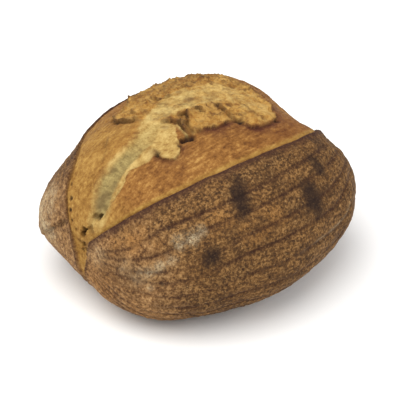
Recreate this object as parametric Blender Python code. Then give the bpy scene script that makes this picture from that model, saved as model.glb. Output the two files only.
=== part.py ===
"""A round-oval sourdough loaf with one long score that opened in the oven.

The loaf is one baked solid. X runs along the score, -Y is the wider crust half and +Z is up.
Lines of equal angle run from one end of the score to the other, like the edges of orange
segments, so the two lips of the score and the rings that the proofing basket left all follow
them. The angle is 0 at the middle of the -Y side, 90 degrees at the top and 180 at the +Y side.
"""

import math

import bmesh
import bpy
from mathutils import Vector

# Driving dimensions, in metres.
HALF_LENGTH = 0.100
FRONT_HALF_WIDTH = 0.104
BACK_HALF_WIDTH = 0.084
HEIGHT = 0.110
AXIS_HEIGHT = 0.044
UNDERSIDE_DEPTH = 0.050

# Roundness of the section and of the outline: 2 is an ellipse, and more is boxier.
SECTION_POWER = 2.2
OUTLINE_POWER = 2.4

# Where the dough swelled or stayed back: place on the surface, and height of the swelling.
BULGE_RADIUS = 0.026
BULGES = (
    ((0.064, -0.087, 0.047), 0.0020),
    ((0.080, -0.030, 0.087), -0.0130),
    ((-0.020, 0.036, 0.103), -0.0030),
    ((-0.067, 0.063, 0.069), -0.0095),
    ((-0.088, 0.048, 0.041), 0.0120),
    ((-0.094, 0.026, 0.028), -0.0035),
    ((-0.090, -0.015, 0.018), 0.0065),
    ((-0.079, -0.051, 0.017), 0.0105),
    ((-0.017, -0.094, 0.021), 0.0045),
    ((0.060, 0.060, 0.045), 0.0050),
)

# The two lips of the score, in degrees. The front lip turns evenly down the score. The back lip
# drops from its near angle to its far angle along one stretch. Over the last stretch before the
# far end both turn outwards, which makes that end of the opening round.
FRONT_LIP_ANGLE = 40.0
FRONT_LIP_TURN = -5.5
BACK_LIP_NEAR_ANGLE = 126.0
BACK_LIP_DROP = 20.0
BACK_LIP_STRETCH = (-0.84, -0.50)
ROUNDING_ANGLE = 16.0
ROUNDING_STRETCH = (0.84, 1.00)
LIP_HEIGHT = 0.0018
LIP_SPREAD = 4.5
LIP_STEP = 1.2

# Shallow rings from the proofing basket, in degrees from lip to base.
RING_SPACING = 6.6
RING_DEPTH = 0.0007
RING_COUNT = 8

# The torn crest along the top of the opening: a sunken strip, and a raised, ragged sheet that
# is highest at its edge and falls off behind it.
CREST_HEIGHT = 0.0022
CREST_FALL = 0.0120
STRIP_DEPTH = 0.0022
STRIP_HALF_WIDTH = 0.0055
STRIP_ROUTE = (
    (-0.095, -0.012),
    (-0.079, -0.007),
    (-0.058, -0.007),
    (-0.040, -0.004),
)
CREST_EDGE = (
    (-0.052, -0.014),
    (-0.054, -0.027),
    (-0.050, -0.033),
    (-0.041, -0.028),
    (-0.034, -0.014),
    (-0.028, -0.027),
    (-0.010, -0.031),
    (0.005, -0.033),
    (0.009, -0.045),
    (0.020, -0.047),
    (0.034, -0.042),
    (0.047, -0.024),
    (0.055, 0.000),
    (0.051, 0.024),
    (0.026, 0.047),
    (0.002, 0.060),
    (-0.021, 0.042),
    (-0.042, 0.030),
    (-0.040, 0.016),
    (-0.034, 0.006),
)

# The ends of the opening lie a little deeper than the two crust halves beside them, and all
# relief fades out over the last stretch before the two ends of the score.
CLEFT_DEPTH = 0.0022
CLEFT_LENGTH = 0.020
FADE_LENGTH = 0.005

# Relief stands out from a point on the axis below: this share of the way along from the middle.
AXIS_FOLLOW = 0.6

# Angles round the loaf, in degrees.
TOP_ANGLE = 90.0
BOTTOM_ANGLE = -90.0
FULL_TURN = 360.0

# How finely the surface is divided.
STATIONS = 50
BLOOM_ROWS = 26
UNDERSIDE_ROWS = 8

CRUST_COLOUR = (0.20, 0.105, 0.045, 1.0)
CRUST_ROUGHNESS = 0.8


def clear_scene():
    """Removes every object that the file starts with."""
    for old in list(bpy.data.objects):
        bpy.data.objects.remove(old, do_unlink=True)


def superellipse_radius(angle, half_width, half_height, power):
    """Distance from the centre of a superellipse to its edge at an angle."""
    across = abs(math.cos(angle)) / half_width
    up = abs(math.sin(angle)) / half_height
    return (across**power + up**power) ** (-1.0 / power)


def smooth_body(along, angle):
    """Point of the plain body: along runs from -1 to 1 down the score, angle is in degrees."""
    turn = math.radians(angle)
    half_width = FRONT_HALF_WIDTH if math.cos(turn) > 0 else BACK_HALF_WIDTH
    half_height = HEIGHT - AXIS_HEIGHT if math.sin(turn) > 0 else UNDERSIDE_DEPTH
    radius = superellipse_radius(turn, half_width, half_height, SECTION_POWER)
    radius *= max(1.0 - abs(along) ** OUTLINE_POWER, 0.0) ** (1.0 / OUTLINE_POWER)
    return Vector(
        (
            HALF_LENGTH * along,
            -radius * math.cos(turn),
            AXIS_HEIGHT + radius * math.sin(turn),
        )
    )


def swell(point):
    """Moves a point of the plain body in or out by the bulges near it."""
    outward = (point - Vector((0.0, 0.0, AXIS_HEIGHT))).normalized()
    height = 0.0
    for place, rise in BULGES:
        gap = (point - Vector(place)).length / BULGE_RADIUS
        height += rise * math.exp(-0.5 * gap * gap)
    return point + outward * height


def smooth_step(value, stretch):
    """Smooth change from 0 at the start of a stretch to 1 at its end."""
    low, high = stretch
    share = min(max((value - low) / (high - low), 0.0), 1.0)
    return share * share * (3.0 - 2.0 * share)


def front_lip(along):
    """Angle of the front lip, in degrees."""
    rounding = ROUNDING_ANGLE * smooth_step(along, ROUNDING_STRETCH)
    return FRONT_LIP_ANGLE + FRONT_LIP_TURN * along - rounding


def back_lip(along):
    """Angle of the back lip, in degrees."""
    rounding = ROUNDING_ANGLE * smooth_step(along, ROUNDING_STRETCH)
    return BACK_LIP_NEAR_ANGLE + BACK_LIP_DROP * smooth_step(along, BACK_LIP_STRETCH) + rounding


def distance_to_route(x, y, route):
    """Distance in plan from a point to a line of straight runs."""
    best = math.inf
    for (ax, ay), (bx, by) in zip(route, route[1:]):
        run_x = bx - ax
        run_y = by - ay
        share = ((x - ax) * run_x + (y - ay) * run_y) / (run_x * run_x + run_y * run_y)
        share = min(max(share, 0.0), 1.0)
        best = min(best, math.hypot(x - ax - share * run_x, y - ay - share * run_y))
    return best


def inside_outline(x, y, outline):
    """True where a point in plan lies inside a closed outline."""
    inside = False
    for (ax, ay), (bx, by) in zip(outline, outline[1:] + outline[:1]):
        if (ay > y) != (by > y) and x < ax + (y - ay) * (bx - ax) / (by - ay):
            inside = not inside
    return inside


def crest_relief(point):
    """Height of the torn crest and its sunken strip above the bloom."""
    edge_gap = distance_to_route(point.x, point.y, CREST_EDGE + CREST_EDGE[:1])
    strip_gap = distance_to_route(point.x, point.y, STRIP_ROUTE) / STRIP_HALF_WIDTH
    height = -STRIP_DEPTH * math.exp(-strip_gap * strip_gap)
    if inside_outline(point.x, point.y, CREST_EDGE):
        height += CREST_HEIGHT * math.exp(-edge_gap / CREST_FALL)
    return height


def crust_relief(degrees_below_lip):
    """Height of the lip and of the basket rings on a crust half."""
    lip = LIP_HEIGHT * math.exp(-((degrees_below_lip / LIP_SPREAD) ** 2))
    ring = 0.0
    if degrees_below_lip < RING_SPACING * RING_COUNT:
        wave = math.cos(2.0 * math.pi * degrees_below_lip / RING_SPACING)
        ring = RING_DEPTH * 0.5 * (wave - 1.0)
    return lip + ring


def relief(along, angle, point):
    """Height of the surface detail above the swollen body."""
    end_gap = HALF_LENGTH * (1.0 - abs(along))
    fade = 1.0 - math.exp(-end_gap / FADE_LENGTH)
    below_front = front_lip(along) - angle
    below_back = angle - back_lip(along)
    if below_front >= 0.0:
        return fade * crust_relief(below_front)
    if below_back >= 0.0:
        return fade * crust_relief(below_back)
    cleft = CLEFT_DEPTH * math.exp(-end_gap / CLEFT_LENGTH)
    return fade * (crest_relief(point) - cleft)


def surface_point(along, angle):
    """Point of the finished surface."""
    point = swell(smooth_body(along, angle))
    outward = (point - Vector((AXIS_FOLLOW * point.x, 0.0, AXIS_HEIGHT))).normalized()
    point = point + outward * relief(along, angle, point)
    point.z = max(point.z, 0.0)
    return point


def spread(start, end, count):
    """Evenly spaced values from start up to, but without, end."""
    return [start + (end - start) * i / count for i in range(count)]


def row_angles(along):
    """Angles of one ring of points, from under the loaf over the front, top and back."""
    front = front_lip(along)
    back = back_lip(along)
    crust = RING_SPACING * RING_COUNT
    ring_rows = 2 * RING_COUNT
    rows = spread(BOTTOM_ANGLE, front - crust, UNDERSIDE_ROWS)
    rows += spread(front - crust, front, ring_rows)
    rows += [front]
    rows += spread(front + LIP_STEP, back - LIP_STEP, BLOOM_ROWS)
    rows += [back - LIP_STEP]
    rows += spread(back, back + crust, ring_rows)
    rows += spread(back + crust, BOTTOM_ANGLE + FULL_TURN, UNDERSIDE_ROWS)
    return rows


def build_surface(mesh):
    """Rings of points down the loaf, joined by faces and closed by a fan at each end."""
    near_end = mesh.verts.new(surface_point(-1.0, TOP_ANGLE))
    far_end = mesh.verts.new(surface_point(1.0, TOP_ANGLE))
    rings = []
    for i in range(1, STATIONS):
        along = -math.cos(math.pi * i / STATIONS)
        rings.append([mesh.verts.new(surface_point(along, a)) for a in row_angles(along)])
    count = len(rings[0])
    for ring, following in zip(rings, rings[1:]):
        for j in range(count):
            k = (j + 1) % count
            mesh.faces.new((ring[j], ring[k], following[k], following[j]))
    for j in range(count):
        k = (j + 1) % count
        mesh.faces.new((near_end, rings[0][k], rings[0][j]))
        mesh.faces.new((far_end, rings[-1][j], rings[-1][k]))


def join_flat_base(mesh):
    """Joins the faces of the flat spot that the loaf stands on into one."""
    flat = [f for f in mesh.faces if all(v.co.z == 0.0 for v in f.verts)]
    bmesh.ops.dissolve_faces(mesh, faces=flat, use_verts=False)


def centre_over_base(mesh):
    """Moves the loaf so that its box is centred over the origin."""
    xs = [v.co.x for v in mesh.verts]
    ys = [v.co.y for v in mesh.verts]
    middle = Vector(((min(xs) + max(xs)) / 2.0, (min(ys) + max(ys)) / 2.0, 0.0))
    bmesh.ops.translate(mesh, verts=mesh.verts, vec=-middle)


def crust_material():
    """Matt brown baked crust."""
    material = bpy.data.materials.new("baked_crust")
    material.use_nodes = True
    shader = material.node_tree.nodes["Principled BSDF"]
    shader.inputs["Base Color"].default_value = CRUST_COLOUR
    shader.inputs["Roughness"].default_value = CRUST_ROUGHNESS
    shader.inputs["Metallic"].default_value = 0.0
    return material


def make_loaf():
    """The whole loaf as one closed solid."""
    mesh = bmesh.new()
    build_surface(mesh)
    join_flat_base(mesh)
    centre_over_base(mesh)
    bmesh.ops.recalc_face_normals(mesh, faces=mesh.faces)
    data = bpy.data.meshes.new("loaf")
    mesh.to_mesh(data)
    mesh.free()
    data.shade_smooth()
    data.materials.append(crust_material())
    loaf = bpy.data.objects.new("loaf", data)
    bpy.context.scene.collection.objects.link(loaf)


clear_scene()
make_loaf()
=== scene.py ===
import math

import bpy
import numpy as np
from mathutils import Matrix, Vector


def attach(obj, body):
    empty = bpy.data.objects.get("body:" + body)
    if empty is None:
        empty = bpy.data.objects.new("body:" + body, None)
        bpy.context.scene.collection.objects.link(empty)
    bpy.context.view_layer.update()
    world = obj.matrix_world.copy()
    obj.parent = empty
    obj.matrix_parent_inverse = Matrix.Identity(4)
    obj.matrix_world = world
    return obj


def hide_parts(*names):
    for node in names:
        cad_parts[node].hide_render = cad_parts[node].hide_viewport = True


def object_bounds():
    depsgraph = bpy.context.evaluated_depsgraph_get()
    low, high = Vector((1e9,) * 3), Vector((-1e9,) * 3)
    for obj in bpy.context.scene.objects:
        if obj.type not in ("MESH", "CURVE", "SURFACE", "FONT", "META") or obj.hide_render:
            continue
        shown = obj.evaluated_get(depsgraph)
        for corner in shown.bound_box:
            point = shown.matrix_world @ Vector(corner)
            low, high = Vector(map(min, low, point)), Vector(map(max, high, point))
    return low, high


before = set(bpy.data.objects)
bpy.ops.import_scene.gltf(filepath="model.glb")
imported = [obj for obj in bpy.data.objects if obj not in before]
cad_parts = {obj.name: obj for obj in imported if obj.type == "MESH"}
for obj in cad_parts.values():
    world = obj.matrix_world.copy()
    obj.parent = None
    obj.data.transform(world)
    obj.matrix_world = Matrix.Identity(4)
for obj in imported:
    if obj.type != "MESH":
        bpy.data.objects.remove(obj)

cad_low, cad_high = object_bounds()

# Shape values below are in millimetres and degrees, in the loaf's own axes: X along the score,
# -Y the wide crust half, +Z up, with the line through both ends of the score above the origin.
MM = 0.001

HALF_LENGTH = 100.0
FRONT_HALF_WIDTH = 104.0
BACK_HALF_WIDTH = 84.0
HEIGHT = 110.0
AXIS_HEIGHT = 44.0
UNDERSIDE_DEPTH = 50.0
SECTION_POWER = 2.2
OUTLINE_POWER = 2.4
BULGE_RADIUS = 26.0
BULGES = (
    ((64.0, -87.0, 47.0), 2.0),
    ((80.0, -30.0, 87.0), -13.0),
    ((-20.0, 36.0, 103.0), -3.0),
    ((-67.0, 63.0, 69.0), -9.5),
    ((-88.0, 48.0, 41.0), 12.0),
    ((-94.0, 26.0, 28.0), -3.5),
    ((-90.0, -15.0, 18.0), 6.5),
    ((-79.0, -51.0, 17.0), 10.5),
    ((-17.0, -94.0, 21.0), 4.5),
    ((60.0, 60.0, 45.0), 5.0),
)

# Basket rings on the front crust, from the top: angle at mid-length, how far towards the near end the
# ring begins to drop, by how much it drops there, and its rise towards the far end.
RINGS = (
    (30.2, 0.80, 8.0, 0.0),
    (23.9, 0.62, 9.0, 0.5),
    (16.7, 0.45, 10.0, 2.0),
    (10.4, 0.45, 10.0, 4.0),
    (2.6, 0.45, 10.0, 6.0),
    (-4.6, 0.45, 10.0, 6.0),
    (-11.6, 0.45, 10.0, 6.0),
    (-18.6, 0.45, 10.0, 6.0),
    (-25.6, 0.45, 10.0, 6.0),
)
RING_RISE_STRETCH = (0.22, 0.60)
RING_OFFSETS = (-1.6, -0.9, -0.45, 0.0, 0.45, 0.9, 1.6)
BACK_RING_GAPS = (8.0, 14.5, 21.0, 28.0, 35.0, 42.0, 49.0, 56.0, 63.0)

# How finely the surface is divided: stations down the score, rows of points round the loaf.
STATIONS = 318
MIDDLE_DENSITY = 0.85
LIP_ROWS = 11
LIP_CROWDING = 1.5
LIP_WIDTH = 0.28
BETWEEN_RINGS = 3
BLOOM_ROWS = 164
CREST_DENSITY = 0.8
CREST_START = (0.10, 0.22)
CREST_END = (0.68, 0.82)
BACK_ROWS = 36
BACK_CROWDING = 1.15
UNDERSIDE_ROWS = 7
CRUST_SPAN = 86.0


# ---------------------------------------------------------------- noise

class Noise:
    """Smooth gradient noise in space, the same on every run for the same seed."""

    def __init__(self, seed):
        draw = np.random.default_rng(seed)
        order = draw.permutation(256)
        self.order = np.concatenate([order, order])
        slopes = draw.normal(size=(256, 3))
        self.slopes = slopes / np.linalg.norm(slopes, axis=1, keepdims=True)

    def corner(self, cell, offset, part):
        """Share that one corner of each point's cell gives."""
        corner = (cell + offset) & 255
        index = self.order[self.order[self.order[corner[..., 0]] + corner[..., 1]] + corner[..., 2]]
        return (self.slopes[index] * (part - offset)).sum(-1)

    def __call__(self, points, size):
        """Value from about -1 to 1 at each point, with bumps about one size across."""
        place = points / size
        cell = np.floor(place).astype(int)
        part = place - cell
        ease = part * part * part * (part * (part * 6.0 - 15.0) + 10.0)
        total = 0.0
        for dx in (0, 1):
            wx = ease[..., 0] if dx else 1.0 - ease[..., 0]
            for dy in (0, 1):
                wy = ease[..., 1] if dy else 1.0 - ease[..., 1]
                for dz in (0, 1):
                    wz = ease[..., 2] if dz else 1.0 - ease[..., 2]
                    offset = np.array((dx, dy, dz))
                    total = total + wx * wy * wz * self.corner(cell, offset, part)
        return total * 1.6

    def layered(self, points, size, layers=3, keep=0.5):
        """Sum of ever finer noise."""
        total = 0.0
        strength = 1.0
        for layer in range(layers):
            total = total + strength * self(points + 37.7 * layer, size)
            size = size * 0.5
            strength = strength * keep
        return total


def step(value, low, high):
    """Smooth change from 0 at low to 1 at high."""
    share = np.clip((value - low) / (high - low), 0.0, 1.0)
    return share * share * (3.0 - 2.0 * share)


def bell(value, width):
    """Smooth hump, 1 at zero."""
    return np.exp(-((value / width) ** 2))


# ---------------------------------------------------------------- body

lip_noise = Noise(11)

# Where the lips run, in degrees round the loaf, with the ends of the score at -1 and 1. Both turn
# outwards at the far end, so that the opening is round there.
FRONT_LIP_ANGLE = 40.0
FRONT_LIP_DROP = 5.5
FRONT_WAVER = 0.35
BACK_LIP_NEAR_ANGLE = 126.0
BACK_LIP_DROP = 20.0
BACK_LIP_STRETCH = (-0.84, -0.50)
BACK_WAVER = 0.8
FAR_ROUNDING = 16.0
ROUNDING_STRETCH = (0.84, 1.0)


def lip_waver(along, row, size):
    """Small wander of a lip along the score."""
    return lip_noise(np.stack([along * HALF_LENGTH, 0 * along + row, 0 * along], -1), size)


def front_lip(along):
    """Angle of the front lip, in degrees."""
    angle = FRONT_LIP_ANGLE - FRONT_LIP_DROP * along + FRONT_WAVER * lip_waver(along, 0.0, 17.0)
    return angle - FAR_ROUNDING * step(along, *ROUNDING_STRETCH)


def back_lip(along):
    """Angle of the back lip, in degrees."""
    angle = BACK_LIP_NEAR_ANGLE + BACK_LIP_DROP * step(along, *BACK_LIP_STRETCH)
    angle = angle + BACK_WAVER * lip_waver(along, 50.0, 21.0)
    return angle + FAR_ROUNDING * step(along, *ROUNDING_STRETCH)


def smooth_body(along, angle):
    """Points of the plain body."""
    turn = np.radians(angle)
    half_width = np.where(np.cos(turn) > 0, FRONT_HALF_WIDTH, BACK_HALF_WIDTH)
    half_height = np.where(np.sin(turn) > 0, HEIGHT - AXIS_HEIGHT, UNDERSIDE_DEPTH)
    across = (np.abs(np.cos(turn)) / half_width) ** SECTION_POWER
    upward = (np.abs(np.sin(turn)) / half_height) ** SECTION_POWER
    radius = (across + upward) ** (-1.0 / SECTION_POWER)
    radius = radius * np.maximum(1.0 - np.abs(along) ** OUTLINE_POWER, 0.0) ** (1.0 / OUTLINE_POWER)
    x = HALF_LENGTH * along + 0.0 * radius
    return np.stack([x, -radius * np.cos(turn), AXIS_HEIGHT + radius * np.sin(turn)], -1)


def swell(points):
    """Moves points of the plain body in or out by the bulges near them."""
    outward = points - np.array((0.0, 0.0, AXIS_HEIGHT))
    outward = outward / np.linalg.norm(outward, axis=-1, keepdims=True)
    height = 0.0
    for place, rise in BULGES:
        gap = np.linalg.norm(points - np.array(place), axis=-1)
        height = height + rise * np.exp(-0.5 * (gap / BULGE_RADIUS) ** 2)
    return points + outward * height[..., None]


def spread(start, end, count, ease=1.0):
    """Columns of values from start up to, but without, end, for each station."""
    share = 1.0 - (1.0 - np.arange(count) / count) ** ease
    return start + (end - start) * share[None, :]


def ring_angle(along, ring):
    """Angle of a basket ring at each station."""
    angle, start, drop, rise = ring
    return angle - drop * step(-along, start, 1.0) + rise * step(along, *RING_RISE_STRETCH)


def row_angles(along):
    """Angles of every ring of points, from under the loaf over the front, top and back."""
    front = front_lip(along)
    back = back_lip(along)
    high = back + CRUST_SPAN
    down = np.full_like(front, -90.0)
    rows = []
    last = down
    count = UNDERSIDE_ROWS
    for ring in reversed(RINGS):
        angle = ring_angle(along, ring)
        rows.append(spread(last, angle + RING_OFFSETS[0], count))
        rows += [angle + offset for offset in RING_OFFSETS[:-1]]
        last = angle + RING_OFFSETS[-1]
        count = BETWEEN_RINGS + 1
    rows.append(spread(last, front, LIP_ROWS, LIP_CROWDING))
    rows.append(front)
    share = np.linspace(0.0, 1.0, 400)
    density = 1.0 + CREST_DENSITY * step(share, *CREST_START) * (1.0 - step(share, *CREST_END))
    total = np.cumsum(density)
    total = (total - total[0]) / (total[-1] - total[0])
    share = np.interp(np.linspace(0.0, 1.0, BLOOM_ROWS), total, share)
    rows.append(front + LIP_WIDTH + (back - front - 2.0 * LIP_WIDTH) * share[None, :])
    rows.append(back)
    rows.append(spread(high, back, BACK_ROWS, BACK_CROWDING)[:, ::-1])
    rows.append(spread(high, down + 360.0, UNDERSIDE_ROWS)[:, 1:])
    return np.concatenate(rows, axis=1)


def station_places():
    """Places down the score from -1 to 1, closer together at the ends and in the middle."""
    turn = np.linspace(0.0, np.pi, 2000)
    density = 1.0 + MIDDLE_DENSITY * step(np.sin(turn), 0.60, 0.90)
    total = np.cumsum(density)
    total = (total - total[0]) / (total[-1] - total[0])
    return -np.cos(np.interp(np.arange(1, STATIONS) / STATIONS, total, turn))


def surface_normals(points):
    """Outward unit normals of a grid of points that is closed round the loaf."""
    down_score = np.gradient(points, axis=0)
    wrapped = np.concatenate([points[:, -1:], points, points[:, :1]], axis=1)
    round_loaf = np.gradient(wrapped, axis=1)[:, 1:-1]
    normal = np.cross(down_score, round_loaf)
    normal = normal / np.maximum(np.linalg.norm(normal, axis=-1, keepdims=True), 1e-9)
    outward = points - np.array((0.0, 0.0, AXIS_HEIGHT))
    return normal * np.sign((normal * outward).sum(-1, keepdims=True))


# ---------------------------------------------------------------- torn crest and creases

# The strip of stretched crumb along the crest: its middle line and its outline, in plan.
STRIP_ROUTE = (
    (-97.0, -12.0),
    (-91.0, -10.5),
    (-85.0, -8.5),
    (-79.0, -7.0),
    (-66.0, -7.0),
    (-58.0, -7.0),
    (-50.0, -6.5),
    (-40.0, -4.0),
    (-29.0, 2.0),
    (-17.0, 4.0),
    (-4.0, 4.0),
)
STRIP_OUTLINE = (
    (-97.0, -9.0),
    (-94.0, -7.0),
    (-88.0, -3.0),
    (-82.0, -1.5),
    (-73.0, -1.5),
    (-66.0, -2.0),
    (-58.0, -1.5),
    (-46.0, 1.0),
    (-36.0, 4.0),
    (-34.0, -2.0),
    (-42.0, -9.0),
    (-50.0, -12.0),
    (-60.0, -12.5),
    (-67.0, -12.5),
    (-74.0, -13.0),
    (-79.0, -13.5),
    (-84.0, -15.0),
    (-90.0, -16.0),
    (-95.0, -16.0),
)

# Smooth pale skin that runs on from the strip towards the far end.
PALE_OUTLINE = (
    (-56.0, -2.0),
    (-42.0, 8.0),
    (-30.0, 14.0),
    (-17.0, 19.0),
    (-4.0, 23.0),
    (10.0, 22.0),
    (24.0, 17.0),
    (34.0, 9.0),
    (42.0, -1.0),
    (43.0, -18.0),
    (34.0, -38.0),
    (23.0, -41.0),
    (17.0, -33.0),
    (18.0, -20.0),
    (11.0, -10.0),
    (-5.0, -5.0),
    (-17.0, -3.0),
    (-28.0, -4.0),
    (-37.0, -14.0),
    (-48.0, -14.0),
    (-56.0, -9.0),
)

# Where the torn sheet of skin lies on the crest, in plan.
SHEET_OUTLINE = (
    (-44.0, 30.0),
    (-40.0, 16.0),
    (-33.0, 4.0),
    (-28.0, -4.0),
    (-28.0, -27.0),
    (-10.0, -31.0),
    (4.0, -33.0),
    (8.0, -44.0),
    (20.0, -47.0),
    (33.0, -42.0),
    (44.0, -28.0),
    (56.0, -4.0),
    (52.0, 24.0),
    (26.0, 48.0),
    (2.0, 61.0),
    (-22.0, 45.0),
)

# Thin pale skin beside the strip, and the tongue that hangs from it.
SKIN_OUTLINE = (
    (-98.0, -14.0),
    (-85.0, -19.0),
    (-78.0, -18.5),
    (-72.0, -15.5),
    (-67.0, -19.0),
    (-61.0, -21.5),
    (-54.5, -21.0),
    (-54.5, -27.0),
    (-50.5, -33.5),
    (-45.0, -32.5),
    (-40.5, -27.5),
    (-36.0, -20.0),
    (-29.0, -12.0),
    (-28.0, 0.0),
    (-42.0, 2.0),
    (-60.0, -4.0),
    (-80.0, -8.0),
    (-98.0, -9.5),
)

# Browned back of the curled flake.
CURL_OUTLINE = (
    (-24.5, -6.0),
    (-25.5, -14.0),
    (-28.0, -21.0),
    (-28.0, -27.0),
    (-25.0, -25.0),
    (-22.0, -17.0),
    (-15.0, -10.5),
    (-14.5, -5.5),
    (-20.0, -3.5),
)

# Torn edges: (plane, line, rise, fall-off behind the edge, overhang, pit at the foot,
# browning of the rim, scorch on the low side). The raised side is on the left of each line.
# The foot of each edge and its pit are also painted dark, as shade.
TEARS = (
    # lower rim of the curled flake and its upper rim
    ("xy", ((-31.0, 0.0), (-27.5, -4.5), (-25.0, -7.5), (-26.0, -14.0), (-28.5, -21.0), (-28.5, -27.5)),
     1.9, 5.0, 1.0, 1.5, 1.0, 0.2),
    ("xy", ((-20.0, -3.0), (-14.5, -5.5), (-15.0, -10.5), (-22.0, -17.0), (-25.0, -24.0), (-24.0, -27.5)),
     2.1, 7.0, 1.3, 1.4, 1.0, 0.3),
    # lower edge of the broad sheet, in two parts
    ("xy", ((-26.0, -27.0), (-18.0, -27.0), (-9.5, -31.5), (-1.0, -30.5), (5.0, -33.5)),
     1.2, 9.0, 0.6, 0.9, 0.6, 1.0),
    ("xy", ((4.0, -32.0), (5.5, -39.5), (9.0, -44.5), (18.0, -46.5), (27.0, -45.5), (34.0, -41.5),
            (38.0, -34.0)),
     1.4, 9.0, 0.9, 1.0, 0.4, 1.0),
    # tongue
    ("xy", ((-52.0, -13.0), (-53.0, -19.0), (-54.0, -27.0), (-50.5, -33.0), (-45.5, -32.0), (-41.0, -28.0),
            (-39.5, -23.0)),
     0.9, 8.0, 0.8, 0.6, 0.4, 0.5),
    # crack between the two parts of the sheet
    ("xy", ((10.0, -9.0), (8.5, -17.0), (5.5, -26.0), (4.5, -34.0)), 1.5, 6.0, 1.0, 1.4, 1.0, 0.3),
    # skin of the front slope, against the strip of crumb
    ("xy", ((-53.0, -20.5), (-61.0, -21.0), (-67.0, -19.0), (-72.0, -15.5), (-78.0, -18.0), (-85.0, -18.5),
            (-95.0, -17.0)),
     0.9, 6.0, 0.4, 0.2, 0.1, 0.0),
    # ledge on the near side of the crest, and small edges round it
    ("xy", ((-31.0, 40.0), (-37.5, 36.0), (-41.5, 31.0), (-42.0, 24.0), (-39.0, 18.5), (-33.0, 15.5)),
     1.9, 9.0, 1.3, 1.3, 0.8, 0.3),
    ("xy", ((-24.0, 33.0), (-29.0, 28.5), (-30.5, 23.0), (-29.0, 18.0)), 1.3, 6.0, 0.7, 0.6, 0.8, 0.0),
    ("xy", ((-57.0, 21.0), (-63.0, 15.0), (-68.0, 10.0), (-75.0, 7.5)), 0.7, 6.0, 0.3, 0.3, 0.5, 0.0),
    ("xy", ((2.0, 60.0), (-9.0, 53.0), (-21.0, 42.0), (-31.0, 38.0)), 1.5, 8.0, 0.7, 0.6, 0.9, 0.0),
    # edges inside the sheet
    ("xy", ((-7.0, -5.0), (-3.5, -8.5), (-3.5, -14.0)), 1.7, 5.0, 0.8, 1.0, 1.0, 0.0),
    ("xy", ((22.0, -42.0), (20.5, -36.0), (21.5, -28.0), (23.5, -18.0)), 1.5, 6.0, 0.7, 1.0, 1.0, 0.0),
    ("xy", ((-2.0, 37.0), (-6.5, 31.0), (-6.5, 24.0), (2.0, 19.5)), 1.2, 6.0, 0.6, 0.8, 1.0, 0.0),
    # far edges of the sheet
    ("xy", ((38.0, -36.0), (47.0, -24.0), (54.0, -8.0), (55.0, 8.0)), 1.5, 10.0, 0.8, 0.6, 0.8, 0.6),
    ("xy", ((55.0, 8.0), (51.0, 24.0), (38.0, 38.0), (22.0, 48.0), (4.0, 60.0)),
     1.6, 10.0, 0.8, 0.6, 0.9, 0.5),
    # crease under the near bulge of the back crust, seen along the score
    ("yz", ((11.0, 62.0), (17.0, 56.5), (26.0, 49.5), (37.5, 39.5), (47.0, 31.0)),
     1.7, 9.0, 0.8, 1.3, 0.3, 0.5),
    # fold at the far end of the front crust, seen from the front
    ("xz", ((30.0, 41.0), (40.0, 45.5), (45.0, 52.0), (48.5, 59.0), (50.0, 66.0)),
     1.2, 7.0, 0.6, 1.2, 0.0, 0.5),
)
PLANES = {"xy": (0, 1), "yz": (1, 2), "xz": (0, 2)}

# Floury ridge low on the front crust, seen from the front.
FLOUR_RIDGE = ((-20.0, 48.0), (0.0, 49.5), (27.0, 50.0), (48.0, 58.5))

# Pale lining along the foot of the curled flake, in plan.
CURL_LINING = ((-28.5, -13.5), (-29.5, -19.0), (-31.0, -24.5))

# Tail of the opening below the near end of the score: (height, middle, half-width).
TAIL = (
    (8.0, -2.5, 0.0),
    (20.0, -3.0, 2.4),
    (34.0, -3.4, 4.0),
    (41.0, -3.4, 5.4),
    (48.0, -2.0, 6.8),
    (52.0, -1.8, 8.0),
    (58.0, -1.8, 9.5),
)
TAIL_DEPTH = 1.8
TAIL_RIM = 0.8


def smooth_route(points, per_run=6):
    """Rounded line through a few points in a plane."""
    p = np.array(points, float)
    p = np.concatenate([[2 * p[0] - p[1]], p, [2 * p[-1] - p[-2]]])
    share = (np.arange(per_run) / per_run)[:, None]
    runs = []
    for a, b, c, d in zip(p, p[1:], p[2:], p[3:]):
        bend = 2 * b + (c - a) * share + (2 * a - 5 * b + 4 * c - d) * share**2
        runs.append(0.5 * (bend + (3 * b - a - 3 * c + d) * share**3))
    return np.concatenate(runs + [p[-2:-1]])


def along_route(points, route):
    """Distance from a line, positive on its left, millimetres along it, share and left side."""
    best = np.full(len(points), 1e9)
    signed = np.zeros(len(points))
    travelled = np.zeros(len(points))
    side = np.zeros((len(points), 2))
    runs = np.linalg.norm(np.diff(route, axis=0), axis=1)
    before = np.concatenate([[0.0], np.cumsum(runs)])
    for a, b, length, start in zip(route, route[1:], runs, before):
        direction = (b - a) / length
        offset = points - a
        reach = np.clip(offset @ direction, 0.0, length)
        gap = offset - reach[:, None] * direction
        distance = np.hypot(gap[:, 0], gap[:, 1])
        nearer = distance < best
        turn = direction[0] * offset[:, 1] - direction[1] * offset[:, 0]
        best = np.where(nearer, distance, best)
        signed = np.where(nearer, np.where(turn >= 0, distance, -distance), signed)
        travelled = np.where(nearer, start + reach, travelled)
        left = np.array((-direction[1], direction[0]))
        side = np.where(nearer[:, None], left[None, :], side)
    return signed, travelled, travelled / before[-1], side


def outline_depth(points, outline):
    """Distance inside a closed outline in plan, negative outside it."""
    closed = np.array(outline + outline[:1], float)
    distance = np.abs(along_route(points, closed)[0])
    x, y = points[:, 0], points[:, 1]
    inside = np.zeros(len(points), bool)
    for (ax, ay), (bx, by) in zip(closed, closed[1:]):
        if ay != by:
            inside ^= ((ay > y) != (by > y)) & (x < ax + (y - ay) * (bx - ax) / (by - ay))
    return np.where(inside, distance, -distance)


# ---------------------------------------------------------------- relief

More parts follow.
